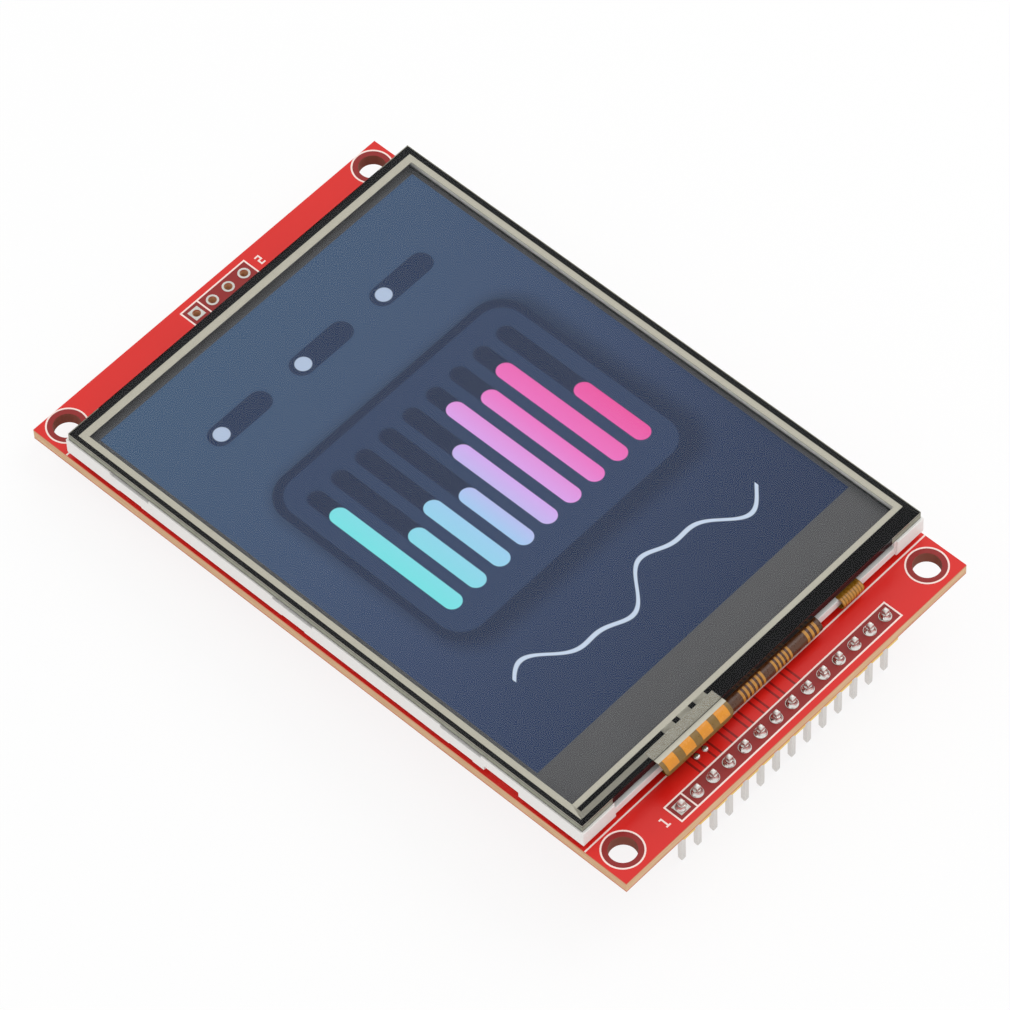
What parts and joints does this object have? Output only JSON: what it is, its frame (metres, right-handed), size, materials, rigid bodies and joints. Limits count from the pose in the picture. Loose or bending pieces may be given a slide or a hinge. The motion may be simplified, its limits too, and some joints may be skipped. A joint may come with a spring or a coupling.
{
  "type": "tft display module",
  "caption": "Colour display with a resistive touch panel on a red circuit board, with corner mounting holes, a soldered pin header and a card socket behind.",
  "frame": {"origin": "centre of the four mounting holes, on the circuit board's front face", "axes": "+X along the pin header from its first pin, +Y from the pin header towards the spare header, +Z out of the screen"},
  "size_m": [0.055, 0.0893, 0.0145],
  "materials": {
    "solder_mask": "glossy red solder mask over fibreglass",
    "legend_ink": "printed white ink",
    "tinned_copper": "tinned copper",
    "solder": "bright solder",
    "header_plastic": "moulded yellow plastic",
    "pin_metal": "tinned brass",
    "foam_tape": "white foam tape",
    "white_frame": "satin white moulding",
    "reflector_film": "mirror film",
    "guide_acrylic": "clear acrylic",
    "diffuser_film": "milky film",
    "prism_film": "ribbed film",
    "led_body": "white body with a yellow window",
    "lamp_flex": "amber polyimide",
    "flex_copper": "copper under polyimide",
    "black_tape": "black tape",
    "polariser": "grey polarising film",
    "display_glass": "thin glass",
    "filter_glass": "dark filter glass",
    "screen": "lit screen under a polariser",
    "chip_silicon": "bare silicon",
    "main_flex": "brown polyimide",
    "gasket_foam": "black foam",
    "touch_glass": "clear glass with olive edges",
    "black_ink": "printed black border",
    "silver_ink": "printed silver ink",
    "touch_film": "clear film",
    "tail_film": "amber polyimide",
    "tail_copper": "copper under amber film",
    "tail_cover": "pale cover film",
    "socket_plastic": "black moulding",
    "socket_steel": "stamped steel",
    "contact_gold": "gold plate",
    "chip_body": "moulded epoxy",
    "lead_tin": "tinned leads",
    "resistor_film": "black glazed film",
    "end_tin": "tinned ends",
    "capacitor_ceramic": "fired ceramic"
  },
  "bodies": {
    "root": {"pcb": "solder_mask", "front_legend": "legend_ink", "rear_legend": "legend_ink", "front_pads": "tinned_copper", "rear_pads": "tinned_copper", "test_points": "solder", "header_body": "header_plastic", "header_pins": "pin_metal", "solder_joints": "solder", "mounting_tape": "foam_tape", "backlight_frame": "white_frame", "reflector": "reflector_film", "light_guide": "guide_acrylic", "diffuser": "diffuser_film", "lower_prism_sheet": "prism_film", "upper_prism_sheet": "prism_film", "backlight_leds": "led_body", "backlight_flex": "lamp_flex", "backlight_flex_tracks": "flex_copper", "shade_tape": "black_tape", "rear_polariser": "polariser", "array_glass": "display_glass", "colour_filter_glass": "filter_glass", "front_polariser": "screen", "driver_chip": "chip_silicon", "ledge_tape": "black_tape", "display_flex": "main_flex", "display_flex_tracks": "flex_copper", "touch_gasket": "gasket_foam", "touch_glass": "touch_glass", "touch_border": "black_ink", "touch_electrodes": "silver_ink", "touch_film": "touch_film", "touch_tail": "tail_film", "touch_tail_tracks": "tail_copper", "touch_tail_cover": "tail_cover", "card_socket_base": "socket_plastic", "card_socket_shell": "socket_steel", "card_socket_contacts": "contact_gold", "touch_controller_body": "chip_body", "touch_controller_leads": "lead_tin", "regulator_body": "chip_body", "regulator_leads": "lead_tin", "transistor_body": "chip_body", "transistor_leads": "lead_tin", "resistor_bodies": "resistor_film", "resistor_caps": "end_tin", "capacitor_bodies": "capacitor_ceramic", "capacitor_caps": "end_tin"}
  },
  "joints": []
}
